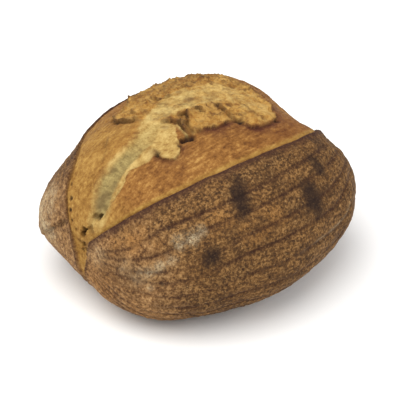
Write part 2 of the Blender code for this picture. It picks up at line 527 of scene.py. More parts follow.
body_noise = Noise(3)
fine_noise = Noise(5)
tear_noise = Noise(7)
strand_noise = Noise(31)

# Places on the crust, in millimetres: (place, radius, strength).
CHAR_SPOTS = (
    ((-32.5, -68.5, 93.5), 3.6, 0.8),
    ((-35.9, -73.5, 89.9), 5.0, 1.0),
    ((-38.5, -76.5, 86.5), 5.4, 1.0),
    ((-40.5, -79.5, 83.5), 4.8, 1.0),
    ((-42.3, -82.5, 80.5), 3.2, 0.8),
    ((8.5, -92.3, 78.2), 5.4, 1.0),
    ((7.0, -97.0, 72.0), 6.0, 1.0),
    ((7.4, -100.0, 67.0), 4.0, 0.8),
    ((5.6, -89.9, 80.9), 3.4, 0.7),
    ((25.5, -80.0, 88.0), 3.6, 0.8),
    ((25.8, -83.6, 85.0), 3.6, 0.9),
    ((27.5, -86.2, 82.2), 3.0, 0.9),
    ((-67.4, -82.6, 62.6), 4.2, 1.0),
    ((-70.6, -81.4, 61.0), 3.4, 0.9),
    ((-91.6, -63.6, 45.7), 1.1, 1.0),
    ((-79.2, -57.4, 76.3), 1.0, 0.8),
    ((-40.0, 78.0, 60.0), 6.0, 0.8),
    ((20.0, 84.0, 45.0), 5.0, 0.9),
    ((55.0, 70.0, 62.0), 5.0, 0.7),
    ((94.0, -30.0, 44.0), 5.0, 0.7),
)
FLOUR_SPOTS = (
    ((-78.8, -65.5, 70.5), 3.2, 0.8),
    ((-73.1, -70.0, 72.8), 3.2, 0.9),
    ((-67.8, -72.2, 76.0), 2.6, 0.6),
    ((-95.0, -55.5, 52.0), 3.0, 0.6),
    ((-90.5, -60.5, 56.0), 3.0, 0.6),
    ((-85.5, -65.5, 60.0), 2.8, 0.5),
    ((-99.5, -42.0, 50.0), 4.0, 0.35),
    ((-98.0, -50.0, 47.5), 4.0, 0.45),
    ((-96.0, -57.0, 42.5), 2.0, 0.6),
    ((-102.5, -18.0, 50.0), 6.0, 0.3),
    ((-98.0, 38.0, 50.0), 10.0, 1.0),
    ((-99.0, 32.0, 44.0), 7.0, 0.9),
    ((-95.0, 38.0, 62.0), 8.0, 0.7),
    ((-92.0, 50.0, 44.0), 9.0, 0.8),
    ((-60.0, 74.0, 62.0), 11.0, 0.6),
    ((0.0, 84.0, 58.0), 12.0, 0.7),
    ((40.0, 80.0, 40.0), 11.0, 0.6),
    ((80.0, 50.0, 50.0), 10.0, 0.6),
)
GOLD_SPOTS = (
    ((-99.0, -28.6, 60.6), 5.5, 0.8),
    ((-93.0, -41.0, 67.5), 7.0, 0.8),
    ((-90.0, -53.0, 63.6), 6.0, 0.5),
    ((-62.0, -76.0, 78.0), 5.0, 0.4),
    ((-43.0, -91.0, 71.0), 6.0, 0.8),
    ((-34.0, -92.0, 74.0), 6.0, 0.8),
    ((-24.0, -93.0, 76.0), 6.0, 0.6),
    ((-52.8, -76.0, 82.4), 5.0, 0.8),
    ((-96.0, 30.0, 66.0), 6.0, 0.4),
    ((-100.0, -24.0, 30.0), 12.0, 0.7),
    ((-90.0, -46.0, 22.0), 12.0, 0.5),
)
# Recesses under the torn edges, painted dark as shadow, and brown spots on the skin, in plan.
SHADOW_PITS = (
    ((-35.8, -25.4), 2.4, 1.0),
    ((-33.4, -26.4), 2.8, 1.0),
    ((-30.4, -27.8), 2.6, 1.0),
    ((6.0, -35.8), 2.7, 1.0),
    ((4.4, -34.0), 1.8, 0.7),
    ((29.5, -45.6), 2.3, 0.8),
    ((-54.0, -22.2), 1.7, 0.8),
    ((-41.0, -27.6), 1.5, 0.7),
    ((-5.4, -13.6), 1.6, 0.7),
    ((-10.5, 0.2), 0.8, 0.7),
)
BROWN_SPOTS = (
    ((2.7, 6.3), 4.2, 0.7),
    ((17.9, 23.2), 3.2, 0.8),
    ((26.5, 27.0), 2.4, 0.7),
    ((6.0, 20.5), 2.4, 0.5),
    ((39.0, 2.0), 2.4, 0.6),
    ((12.7, -19.3), 2.6, 0.7),
    ((8.6, -13.2), 2.0, 0.8),
    ((-6.5, -10.4), 2.0, 0.6),
    ((20.8, -31.3), 3.2, 0.5),
    ((19.7, -41.7), 1.8, 0.6),
    ((-90.0, -9.0), 5.0, 0.5),
    ((-82.0, -12.0), 2.6, 0.3),
    ((-75.0, -3.5), 2.2, 0.3),
    ((-34.0, -8.0), 2.6, 0.4),
)
# Holes: (place, radius, depth, darkness of the painted shade inside).
CRUMB_HOLES = (
    ((-95.6, -12.8, 71.5), 2.1, 3.4, 1.0),
    ((-96.5, -9.5, 71.0), 2.2, 1.8, 0.45),
    ((-101.7, -3.6, 57.5), 2.3, 4.2, 1.0),
    ((-101.3, -4.2, 60.5), 2.0, 3.6, 0.9),
    ((-100.0, -8.8, 62.5), 3.0, 2.0, 0.35),
    ((-103.5, -3.6, 50.0), 1.9, 2.2, 0.75),
    ((-103.8, -6.0, 47.5), 1.5, 1.8, 0.7),
    ((-103.0, -0.5, 50.5), 1.4, 1.6, 0.6),
    ((-104.0, -3.0, 46.0), 1.5, 1.6, 0.6),
    ((-95.2, 15.0, 72.5), 1.6, 1.4, 1.0),
    ((-98.4, 12.2, 66.5), 1.5, 1.2, 1.0),
    ((-100.8, 8.2, 61.5), 1.3, 1.2, 0.9),
    ((-90.0, 20.5, 78.5), 1.4, 0.8, 0.9),
    ((-101.5, 3.5, 57.5), 1.0, 0.8, 0.6),
)

# Millimetres over which the relief dies out at both ends of the score, and degrees within which a
# point counts as on a lip.
END_FADE = 2.0
ON_LIP = 1e-6

# What is known at each point of the surface, from 0 to 1, for the material.
MASKS = (
    "bloom",
    "crumb",
    "torn",
    "toast_and_shade",
    "char_and_shade",
    "flour",
    "groove",
    "scorch",
    "gold",
    "pale_near_end",
    "shade",
    "light",
    "pale",
    "pit",
)


class Surface:
    """The loaf's grid of points with what is known at each: place, normal, region and masks."""

    def __init__(self):
        self.along = station_places()[:, None]
        self.angle = row_angles(self.along)
        grid = swell(smooth_body(self.along, self.angle))
        self.shape = grid.shape[:2]
        self.normal = surface_normals(grid).reshape(-1, 3)
        self.place = grid.reshape(-1, 3)
        self.shift = np.zeros_like(self.place)
        along = np.broadcast_to(self.along, self.shape).ravel()
        angle = self.angle.ravel()
        front = np.broadcast_to(front_lip(self.along), self.shape).ravel()
        back = np.broadcast_to(back_lip(self.along), self.shape).ravel()
        self.front_gap = front - angle
        self.back_gap = angle - back
        self.bloom = (self.front_gap < -ON_LIP) & (self.back_gap < -ON_LIP)
        self.front = self.front_gap > -ON_LIP
        self.back = self.back_gap > -ON_LIP
        self.fade = 1.0 - np.exp(-HALF_LENGTH * (1.0 - np.abs(along)) / END_FADE)
        reach = np.hypot(self.place[:, 1], self.place[:, 2] - AXIS_HEIGHT)
        self.arc = reach * math.pi / 180.0
        self.height = np.zeros(len(self.place))
        self.flow = np.stack([self.place[:, 0], angle * 1.6, 0.0 * angle], -1)
        self.masks = {name: np.zeros(len(self.place)) for name in MASKS}

    def mask(self, name, values, where=None):
        """Strengthens a mask where the new values are higher."""
        if where is None:
            self.masks[name] = np.maximum(self.masks[name], values)
        else:
            self.masks[name][where] = np.maximum(self.masks[name][where], values)


# Relief of the crust, in millimetres: heights and depths, and the widths that go with them.
LIP_RISE = 1.6
LIP_REACH = 6.0
LIP_EDGE_DROP = 0.7
LIP_SCORCH_WIDTH = 3.5
RING_DEPTH = 0.55
RING_WIDTH = 3.2
RING_CORE_DEPTH = 0.5
RING_CORE_WIDTH = 0.9
RING_DARK_WIDTH = 1.25
BACK_RING_DEPTH = 0.6
BACK_RING_WIDTH = 2.6
BACK_RING_DARK_WIDTH = 1.8
UNEVENNESS = 0.8
GRAIN = 0.2
CRUST_LIFT = 0.3


def shape_crust(loaf):
    """Lips, basket rings and unevenness of the two crust halves."""
    crust = ~loaf.bloom
    p = loaf.place
    gap = np.where(loaf.front, loaf.front_gap, loaf.back_gap)
    arc = np.where(crust, gap, 1e3) * loaf.arc
    lip = LIP_RISE * np.exp(-arc / LIP_REACH) - LIP_EDGE_DROP * np.exp(-arc)
    soft = np.where(loaf.back, 1.0 - 0.7 * step(-p[:, 0], 20.0, 60.0), 1.0)
    lip = lip * soft * (1.0 + 0.4 * fine_noise(p, 9.0))
    ring = np.zeros(len(p))
    groove = np.zeros(len(p))
    angle = loaf.angle.ravel()
    for k, shape in enumerate(RINGS):
        middle = np.broadcast_to(ring_angle(loaf.along, shape), loaf.shape).ravel()
        strength = np.clip(0.75 + 0.7 * body_noise(p + 61.0 * k, 24.0), 0.15, 1.0)
        strength = np.where(loaf.front, strength, 0.0)
        distance = (angle - middle) * loaf.arc
        core = RING_CORE_DEPTH * bell(distance, RING_CORE_WIDTH)
        ring -= strength * (core + RING_DEPTH * bell(distance, RING_WIDTH))
        groove = np.maximum(groove, strength * bell(distance, RING_DARK_WIDTH))
    for k, gap_here in enumerate(BACK_RING_GAPS):
        strength = np.clip(0.6 + 0.6 * body_noise(p + 93.0 * k, 26.0), 0.0, 1.0)
        strength = np.where(loaf.back, strength, 0.0)
        distance = (loaf.back_gap - gap_here + 0.8 * body_noise(p, 30.0)) * loaf.arc
        ring -= strength * BACK_RING_DEPTH * bell(distance, BACK_RING_WIDTH)
        groove = np.maximum(groove, 0.7 * strength * bell(distance, BACK_RING_DARK_WIDTH))
    bumps = UNEVENNESS * body_noise.layered(p, 24.0, 3) + GRAIN * fine_noise.layered(p, 3.4, 3, 0.6)
    loaf.height += np.where(crust, loaf.fade * (lip + ring + bumps + CRUST_LIFT), 0.0)
    # Crust paler towards the near end.
    loaf.mask("pale_near_end", np.where(crust, step(-p[:, 0], 74.0, 100.0), 0.0))
    loaf.mask("groove", np.where(crust, groove * loaf.fade, 0.0))
    ragged = np.clip(1.0 + 0.6 * fine_noise.layered(p, 7.0, 2), 0.3, 2.0)
    scorch = bell(np.maximum(arc, 0.0), LIP_SCORCH_WIDTH * ragged)
    loaf.mask("toast_and_shade", np.where(crust, scorch * soft, 0.0))


# Relief of the opening, in millimetres.
TUCK_DEPTH = 1.5
TUCK_WIDTH = 1.6
SLOPE_UNEVENNESS = 0.5
SLOPE_GRAIN = 0.26


def shape_bloom(loaf):
    """Golden slopes between the lips."""
    here = loaf.bloom
    p = loaf.place
    gap = np.maximum(loaf.front_gap, loaf.back_gap)
    arc = np.maximum(-gap * loaf.arc, 0.0)
    tuck = -TUCK_DEPTH * np.exp(-arc / TUCK_WIDTH)
    streaks = p * np.array((0.5, 1.0, 1.0))
    bumps = SLOPE_UNEVENNESS * body_noise.layered(p, 14.0, 2)
    bumps = bumps + SLOPE_GRAIN * fine_noise.layered(streaks, 3.4, 3, 0.6)
    loaf.height += np.where(here, loaf.fade * (tuck + bumps), 0.0)
    loaf.mask("bloom", here.astype(float))
    # Painted shade in the crease where the bloom tucks under the lips.
    loaf.mask("toast_and_shade", np.where(here, 0.9 * np.exp(-arc / 0.4), 0.0))
    # Paler band on the bloom just past the front lip.
    loaf.mask("light", np.where(here, 0.9 * bell(arc - 1.9, 1.5) * (loaf.front_gap > loaf.back_gap), 0.0))
    # Near half of the bloom, on the back side of the score and at the near end, made lighter: painted light
    # on the side the key light falls on.
    near_side = step(p[:, 1], -8.0, 8.0) + step(-p[:, 0], 80.0, 97.0)
    loaf.mask("light", np.where(here, 0.6 * step(-p[:, 0], 10.0, 60.0) * np.minimum(near_side, 1.0), 0.0))
    # Far part of the front slope of the bloom made darker: painted shade on the side turned away from the
    # key light.
    far_front = step(p[:, 0] + 0.5 * (-p[:, 1]), 10.0, 70.0) * step(-p[:, 1], 25.0, 50.0)
    loaf.mask("shade", np.where(here, 0.8 * far_front, 0.0))


def apply_tear(loaf, tear):
    """Raises one torn edge, with a pit at its foot and a browned rim, and paints shade along the foot and
    in the pit.
    """
    plane, line, rise, fall, hang, pit, rim, scorch = tear
    axes = list(PLANES[plane])
    route = smooth_route(line)
    margin = 3.5 * fall
    flat = loaf.place[:, axes]
    near = np.all((flat > route.min(0) - margin) & (flat < route.max(0) + margin), axis=1)
    if plane == "xy":
        near &= loaf.bloom
    elif plane == "yz":
        near &= ~loaf.bloom & (loaf.place[:, 0] < -70.0)
    else:
        near &= ~loaf.bloom & (loaf.place[:, 1] < -60.0)
    here = np.nonzero(near)[0]
    p = loaf.place[here]
    signed, _, share, side = along_route(flat[here], route)
    rough = tear_noise.layered(p, 7.0, 3, 0.7) + 0.6 * fine_noise(p, 2.0)
    signed = signed + rough * min(1.0, 0.3 + 0.4 * rise)
    taper = np.clip(4.6 * share * (1.0 - share), 0.0, 1.0) ** 0.6
    uneven = np.clip(0.75 + 0.9 * body_noise(p + 11.0 * rise, 8.0), 0.35, 1.0)
    taper = taper * (0.6 + 0.4 * uneven)
    behind = np.maximum(signed, 0.0)
    up = step(signed, -0.25, 0.45)
    low = pit * bell(signed + 1.1, 1.2) * (signed < 0.4)
    raised = rise * up * np.exp(-behind / fall) + 0.3 * rise * up * bell(behind, 1.5)
    loaf.height[here] += taper * (raised - low)
    loaf.shift[np.ix_(here, axes)] -= (taper * hang * up * np.exp(-behind / 2.0))[:, None] * side
    browned = 1.0 + 0.7 * fine_noise(p, 2.3)
    loaf.mask("toast_and_shade", taper * uneven * rim * np.clip(browned, 0.0, 1.0) * bell(signed - 0.7, 0.8), here)
    # Painted shade along the foot of the edge and in its pit.
    loaf.mask("char_and_shade", taper * uneven * min(1.0, 0.4 * rise) * bell(signed + 0.5, 0.8), here)
    loaf.mask("char_and_shade", taper * uneven * 0.4 * low, here)
    below = np.exp(np.minimum(signed + 3.0, 0.0) / (3.6 + 2.0 * rough)) * (signed < 0.2)
    loaf.mask("scorch", taper * scorch * below, here)


# Relief of the crest, in millimetres.
STRIP_DEPTH = 1.9
STRAND_HEIGHT = 0.5
FLAKE_STEP = 1.1
CREASE_RISE = 0.9
SHEET_UNEVENNESS = 0.6
FOLD_RISE = 0.9
BACK_GRIT = 0.45
FLAKE_GRIT = 0.2
LINING_RISE = 1.3


def shape_crest(loaf):
    """Strip of stretched crumb and the flaky sheet of torn skin on the crest."""
    here = np.nonzero(loaf.bloom)[0]
    p = loaf.place[here]
    plan = p[:, :2]
    rough = tear_noise.layered(p, 4.4, 3, 0.6)
    strip, travelled, share, _ = along_route(plan, smooth_route(STRIP_ROUTE))
    strip_depth = outline_depth(plan, STRIP_OUTLINE) + 0.9 * rough
    crumb = step(strip_depth, -1.4, 2.2)
    loaf.flow[here] = np.stack([travelled, strip, 0.0 * strip], -1)
    fibre = strand_noise.layered(np.stack([travelled / 2.2, strip / 7.0, 0.0 * strip], -1), 1.0, 2)
    height = crumb * (STRAND_HEIGHT * fibre - STRIP_DEPTH)
    depth = outline_depth(plan, SHEET_OUTLINE)
    sheet = step(depth + 1.5 * rough, -1.0, 2.0)
    smooth_skin = step(outline_depth(plan, PALE_OUTLINE) + 1.6 * rough, -1.5, 3.0)
    flaky = sheet * (1.0 - 0.8 * smooth_skin) * (1.0 - crumb)
    level = 1.6 * tear_noise.layered(p * np.array((1.0, 1.0, 0.3)), 22.0, 4, 0.5) + 20.0
    part = level - np.floor(level)
    height += flaky * (FLAKE_STEP * (1.0 - part) ** 1.3 * step(part, 0.0, 0.14) - 0.4)
    crease = body_noise.layered(p * np.array((1.0, 1.0, 0.5)) + 71.0, 13.0, 4, 0.6)
    ridge = bell(crease, 0.16)
    height += flaky * (CREASE_RISE * ridge - 0.3)
    grit = np.clip(fine_noise.layered(p, 2.6, 2, 0.7) - 0.1, 0.0, 1.0)
    back_edge = sheet * step(p[:, 1] + 0.6 * p[:, 0], 20.0, 52.0)
    height += (BACK_GRIT * back_edge + FLAKE_GRIT * flaky) * grit
    height += sheet * SHEET_UNEVENNESS * tear_noise.layered(p, 8.0, 3, 0.6)
    wrinkle = strand_noise.layered(p * np.array((1.0, 0.7, 0.5)), 9.0, 3, 0.55)
    fold = bell(wrinkle, 0.22)
    height += sheet * (FOLD_RISE * fold - 0.35) * (1.0 - 0.4 * smooth_skin)
    loaf.height[here] += loaf.fade[here] * height
    loaf.mask("torn", sheet, here)
    beside = (1.0 - step(strip + 3.0 * rough, 8.0, 26.0)) * step(strip + 2.0 * rough, -16.0, -7.0)
    loaf.mask("torn", 0.7 * beside * step(share, 0.15, 0.5), here)
    skin = step(outline_depth(plan, SKIN_OUTLINE) + 0.9 * rough, -0.6, 0.6)
    loaf.mask("torn", skin, here)
    loaf.mask("pale", 0.8 * skin, here)
    curl = step(outline_depth(plan, CURL_OUTLINE) + 0.5 * rough, -0.4, 0.6)
    across_curl = np.stack([plan @ (0.9, -0.4), plan @ (0.1, 0.2), 0.0 * strip], -1)
    folds = np.clip(0.6 + 0.9 * strand_noise(across_curl, 1.6), 0.0, 1.0)
    loaf.mask("toast_and_shade", 0.5 * curl * folds, here)
    loaf.mask("crumb", crumb * (1.0 - 0.7 * step(p[:, 0], -68.0, -42.0)), here)
    # Pale skin weakened towards the far end: painted shade on the side turned away from the key light.
    far_side = 1.0 - 0.55 * step(p[:, 0], 0.0, 34.0)
    blotchy = np.clip(0.8 + 0.7 * body_noise.layered(p, 11.0, 3), 0.35, 1.0)
    skin = np.maximum(smooth_skin * far_side * blotchy, 0.75 * step(strip_depth, -5.0, -1.0))
    loaf.mask("pale", skin, here)
    lining = along_route(plan, smooth_route(CURL_LINING))[0]
    lining = bell(lining + 0.4 * rough, 1.2)
    loaf.mask("pale", lining, here)
    loaf.height[here] += LINING_RISE * lining
    patchy = np.clip(0.5 + 1.2 * body_noise(p, 9.0), 0.0, 1.0)
    loaf.mask("toast_and_shade", flaky * 0.7 * patchy * bell(part - 0.12, 0.08), here)
    freckles = step(fine_noise.layered(p + 19.0, 6.5, 3, 0.6), 0.35, 0.85)
    loaf.mask("toast_and_shade", 0.42 * sheet * freckles, here)
    # Band beside each fold of the sheet made darker: painted shade under the folds.
    under_fold = bell(wrinkle + 0.26, 0.16) * np.clip(0.4 + body_noise(p + 5.0, 12.0), 0.0, 1.0)
    loaf.mask("toast_and_shade", 0.8 * sheet * under_fold * (1.0 - 0.45 * smooth_skin), here)
    loaf.mask("toast_and_shade", flaky * (0.25 + 0.75 * back_edge) * (1.1 - patchy) * ridge, here)
    # Painted shade at the foot of each step of the flakes.
    loaf.mask("char_and_shade", flaky * 0.35 * patchy * (bell(part - 1.0, 0.05) + bell(part, 0.03)), here)
    loaf.mask("toast_and_shade", 0.7 * back_edge * step(grit, 0.2, 0.7), here)
    loaf.mask("scorch", 0.4 * back_edge * step(crease, 0.0, 0.6), here)


def shape_tail(loaf):
    """Lets the opening run on below the near end of the score."""
    p = loaf.place
    heights, middles, halves = (np.array(column) for column in zip(*TAIL))
    half = np.interp(p[:, 2], heights, halves)
    gap = np.abs(p[:, 1] - np.interp(p[:, 2], heights, middles)) - half + 0.5 * fine_noise(p, 4.0)
    where = (p[:, 0] < -60.0) & (p[:, 2] > heights[0]) & (p[:, 2] < heights[-1])
    depth = np.where(where, 1.0 - step(gap, -0.6, 0.3), 0.0) * step(-p[:, 2], -heights[-1], -46.0)
    inside = np.where(where & ~loaf.bloom, 1.0 - step(gap, -0.6, 0.3), 0.0)
    edge = np.where(where & ~loaf.bloom, bell(gap - 0.9, 0.9), 0.0)
    for name in ("groove", "toast_and_shade", "flour"):
        loaf.masks[name] *= 1.0 - depth
    loaf.height += TAIL_RIM * edge - TAIL_DEPTH * depth
    loaf.mask("bloom", inside)
    loaf.mask("light", 0.7 * inside)
    loaf.mask("toast_and_shade", 0.8 * edge)


# Millimetres that the dark recesses and brown spots lie below the skin, and that the ridge stands up.
PIT_SINK = 2.4
SPOT_SINK = 0.5
RIDGE_RISE = 0.5


def shape_spots(loaf):
    """Holes in the crumb with painted shade inside, dark blisters and floury or golden patches."""
    p = loaf.place
    ragged = 1.0 + 0.3 * fine_noise(p, 2.5)
    for place, radius, depth, hole_shade in CRUMB_HOLES:
        gap = np.linalg.norm(p - np.array(place), axis=1) / radius * ragged
        hole = 1.0 - step(gap, 0.6, 1.1)
        loaf.height -= depth * hole
        loaf.mask("char_and_shade", hole_shade * hole)
    uneven = 1.0 + 0.35 * fine_noise.layered(p, 4.0, 2)
    patchy = np.clip(0.75 + 0.9 * body_noise.layered(p, 10.0, 3), 0.0, 1.0)
    for name, spots in (("char_and_shade", CHAR_SPOTS), ("flour", FLOUR_SPOTS), ("gold", GOLD_SPOTS)):
        for place, radius, strength in spots:
            gap = np.linalg.norm(p - np.array(place), axis=1) / (1.35 * radius * uneven)
            share = 1.0 if name == "char_and_shade" else patchy
            loaf.mask(name, np.where(loaf.bloom, 0.0, strength * share * np.exp(-(gap**3))))
    # Pits are sunk and painted dark as shadow; brown spots are sunk and browned.
    for name, spots, sink in (("pit", SHADOW_PITS, PIT_SINK), ("toast_and_shade", BROWN_SPOTS, SPOT_SINK)):
        for place, radius, strength in spots:
            gap = np.hypot(*(p[:, :2] - np.array(place)).T) / (radius * uneven)
            spot = np.where(loaf.bloom, strength * np.exp(-(gap**3)), 0.0)
            loaf.mask(name, spot)
            loaf.height -= sink * spot
    ridge, _, share, _ = along_route(p[:, [0, 2]], smooth_route(FLOUR_RIDGE))
    line = share * bell(ridge, 1.0) * (loaf.front_gap > 0) * (p[:, 1] < 0.0)
    loaf.mask("flour", 0.7 * patchy * line)
    loaf.height += RIDGE_RISE * line


BLISTERS = 420
BLISTER_RADIUS = (0.9, 2.4)
BLISTER_RISE = (0.15, 0.45)
BLISTER_FLOOR = 4.0


def scatter_blisters(loaf):
    """Small raised blisters over both crust halves."""
    draw = np.random.default_rng(41)
    crust = np.nonzero(~loaf.bloom & (loaf.place[:, 2] > BLISTER_FLOOR))[0]
    for index in draw.choice(crust, BLISTERS, replace=False):
        centre = loaf.place[index]
        radius = draw.uniform(*BLISTER_RADIUS)
        rise = draw.uniform(*BLISTER_RISE)
        near = np.nonzero(np.abs(loaf.place - centre).max(1) < 3.0 * radius)[0]
        gap = np.linalg.norm(loaf.place[near] - centre, axis=1)
        loaf.height[near] += rise * bell(gap, radius) * (~loaf.bloom[near])


def build_loaf():
    """One closed mesh for the whole loaf, with its masks as attributes."""
    loaf = Surface()
    shape_crust(loaf)
    shape_bloom(loaf)
    shape_crest(loaf)
    for tear in TEARS:
        apply_tear(loaf, tear)
    shape_tail(loaf)
    shape_spots(loaf)
    scatter_blisters(loaf)
    points = loaf.place + loaf.normal * loaf.height[:, None] + loaf.shift
    points[:, 2] = np.maximum(points[:, 2], 0.0)
    stations, rows = loaf.shape
    rings = points.reshape(stations, rows, 3)
    points = np.concatenate([points, [rings[0].mean(0)], [rings[-1].mean(0)]])
    middle = (points.min(0) + points.max(0)) / 2.0
    cad_middle = (cad_low + cad_high) / 2.0
    points = points * MM
    points[:, 0] += cad_middle.x - middle[0] * MM
    points[:, 1] += cad_middle.y - middle[1] * MM
    index = np.arange(stations * rows).reshape(stations, rows)
    following = np.roll(index, -1, axis=1)
    quads = np.stack([index[:-1], following[:-1], following[1:], index[1:]], -1).reshape(-1, 4)
    near = stations * rows
    near_fan = np.stack([np.full(rows, near), following[0], index[0]], -1)
    far_fan = np.stack([np.full(rows, near + 1), index[-1], following[-1]], -1)
    faces = quads.tolist() + near_fan.tolist() + far_fan.tolist()
    mesh = bpy.data.meshes.new("loaf_surface")
    mesh.from_pydata(points.tolist(), [], faces)
    for name, values in loaf.masks.items():
        layer = mesh.attributes.new(name, "FLOAT", "POINT")
        ends = values.reshape(loaf.shape)
        full = np.concatenate([values, [ends[0].mean()], [ends[-1].mean()]])
        layer.data.foreach_set("value", full.astype(np.float32))
    layer = mesh.attributes.new("flow", "FLOAT_VECTOR", "POINT")
    full = np.concatenate([loaf.flow, [loaf.flow[0]], [loaf.flow[-1]]]) * MM
    layer.data.foreach_set("vector", full.astype(np.float32).ravel())
    mesh.update()
    mesh.shade_smooth()
    piece = bpy.data.objects.new("loaf_surface", mesh)
    bpy.context.scene.collection.objects.link(piece)
    return piece, middle


# ---------------------------------------------------------------- material

# Screen colours from 0 to 255, from dark to light along each grain, then the range of roughness and
# the depth of the finest relief in metres.
CRUST = ((0.38, (60, 41, 25)), (0.46, (90, 64, 37)), (0.53, (114, 83, 48)), (0.63, (156, 121, 76)))
PALE_NEAR_END_CRUST = ((0.38, (90, 62, 40)), (0.46, (128, 95, 60)), (0.54, (154, 119, 79)), (0.63, (184, 150, 106)))
BLOOM = ((0.38, (90, 56, 26)), (0.46, (124, 84, 41)), (0.54, (148, 106, 55)), (0.63, (180, 140, 82)))
# Lit and paler bloom: painted light on the near slope, and the paler band by the front lip and in the tail.
LIT_AND_PALE_BLOOM = ((0.38, (134, 97, 46)), (0.48, (158, 122, 62)), (0.60, (182, 149, 84)))
TORN_SKIN = ((0.38, (132, 90, 42)), (0.46, (162, 122, 62)), (0.56, (184, 148, 86)))
PALE_SKIN = ((0.38, (134, 102, 56)), (0.48, (172, 144, 88)), (0.58, (198, 174, 116)))
CRUMB = ((0.36, (108, 93, 58)), (0.50, (148, 130, 84)), (0.64, (180, 161, 108)))
DARK_CRUST = (62, 43, 28)
LIGHT_CRUST = (160, 124, 78)
PALE_SPECK = (184, 154, 108)
GOLDEN_CRUST = (166, 120, 64)
RING_BROWN = (60, 36, 26)
SHADED_BLOOM = (118, 74, 38)
SCORCHED = (80, 42, 34)
FLOUR = (206, 190, 156)
# Toasted brown, also used for painted shade in the crease under the lips and under the folds.
TOASTED_AND_SHADED = (66, 40, 32)
# Charred spots, also used for painted shade in holes and at the feet of torn edges and flake steps.
CHARRED_AND_SHADED = (40, 27, 23)
RECESS_SHADOW = (34, 18, 18)
ROUGHNESS = (0.62, 0.88)
RELIEF_DEPTH = 0.0010


def linear(colour):
    """Light values of a screen colour, with full opacity."""
    return tuple(((c / 255.0 + 0.055) / 1.055) ** 2.4 for c in colour) + (1.0,)


class Nodes:
    """Short forms for wiring a material."""

    def __init__(self, material):
        self.tree = material.node_tree

    def new(self, kind, **values):
        node = self.tree.nodes.new(kind)
        for name, value in values.items():
            setattr(node, name, value)
        return node

    def link(self, source, target):
        self.tree.links.new(source, target)

    def attribute(self, name):
        node = self.new("ShaderNodeAttribute", attribute_name=name)
        return node.outputs["Fac"]

    def coordinates(self, stretch=(1.0, 1.0, 1.0), flow=False):
        """Place on the loaf in metres, or place along and across its grain."""
        if flow:
            vector = self.new("ShaderNodeAttribute", attribute_name="flow").outputs["Vector"]
        else:
            vector = self.new("ShaderNodeTexCoord").outputs["Object"]
        mapping = self.new("ShaderNodeMapping")
        mapping.inputs["Scale"].default_value = stretch
        self.link(vector, mapping.inputs["Vector"])
        return mapping.outputs["Vector"]

    def noise(self, scale, detail=4.0, rough=0.6, stretch=(1.0, 1.0, 1.0), flow=False):
        node = self.new("ShaderNodeTexNoise")
        node.inputs["Scale"].default_value = scale
        node.inputs["Detail"].default_value = detail
        node.inputs["Roughness"].default_value = rough
        self.link(self.coordinates(stretch, flow), node.inputs["Vector"])
        return node.outputs["Fac"]

    def specks(self, scale, low, high, share):
        """Small round specks, scattered so that only a share of the cells has one."""
        node = self.new("ShaderNodeTexVoronoi")
        node.inputs["Scale"].default_value = scale
        self.link(self.coordinates(), node.inputs["Vector"])
        split = self.new("ShaderNodeSeparateColor")
        self.link(node.outputs["Color"], split.inputs["Color"])
        chosen = self.fade(split.outputs["Red"], 1.0 - share, 1.05 - share)
        return self.math("MULTIPLY", chosen, self.fade(node.outputs["Distance"], high, low))

    def ramp(self, factor, stops):
        """Screen colours at their places along a factor."""
        node = self.new("ShaderNodeValToRGB")
        ramp = node.color_ramp
        while len(ramp.elements) < len(stops):
            ramp.elements.new(0.5)
        for element, (position, colour) in zip(ramp.elements, stops):
            element.position = position
            element.color = linear(colour)
        self.link(factor, node.inputs["Fac"])
        return node.outputs["Color"]

    def fade(self, factor, low, high, start=0.0, end=1.0):
        """Factor stretched so that low becomes the start and high becomes the end."""
        node = self.new("ShaderNodeMapRange")
        for name, value in (("From Min", low), ("From Max", high), ("To Min", start), ("To Max", end)):
            node.inputs[name].default_value = value
        self.link(factor, node.inputs["Value"])
        return node.outputs["Result"]

    def math(self, operation, a, b):
        node = self.new("ShaderNodeMath", operation=operation)
        for socket, value in zip(node.inputs, (a, b)):
            if isinstance(value, (int, float)):
                socket.default_value = value
            else:
                self.link(value, socket)
        return node.outputs["Value"]

    def blend(self, a, b, share):
        """Sum of two factors, with a share given to the second."""
        return self.math("ADD", self.math("MULTIPLY", a, 1.0 - share), self.math("MULTIPLY", b, share))

    def mix(self, factor, below, above):
        """Blend of two colours."""
        node = self.new("ShaderNodeMix", data_type="RGBA")
        sockets = [s for s in node.inputs if s.enabled]
        for socket, value in zip(sockets, (factor, below, above)):
            if isinstance(value, (int, float, tuple)):
                socket.default_value = value
            else:
                self.link(value, socket)
        return [s for s in node.outputs if s.enabled][0]

    def tint(self, colour, above, strength, *factors):
        """Colour taken towards a screen colour where every factor is high."""
        share = factors[0]
        for factor in factors[1:]:
            share = self.math("MULTIPLY", share, factor)
        return self.mix(self.math("MULTIPLY", share, strength), colour, linear(above))


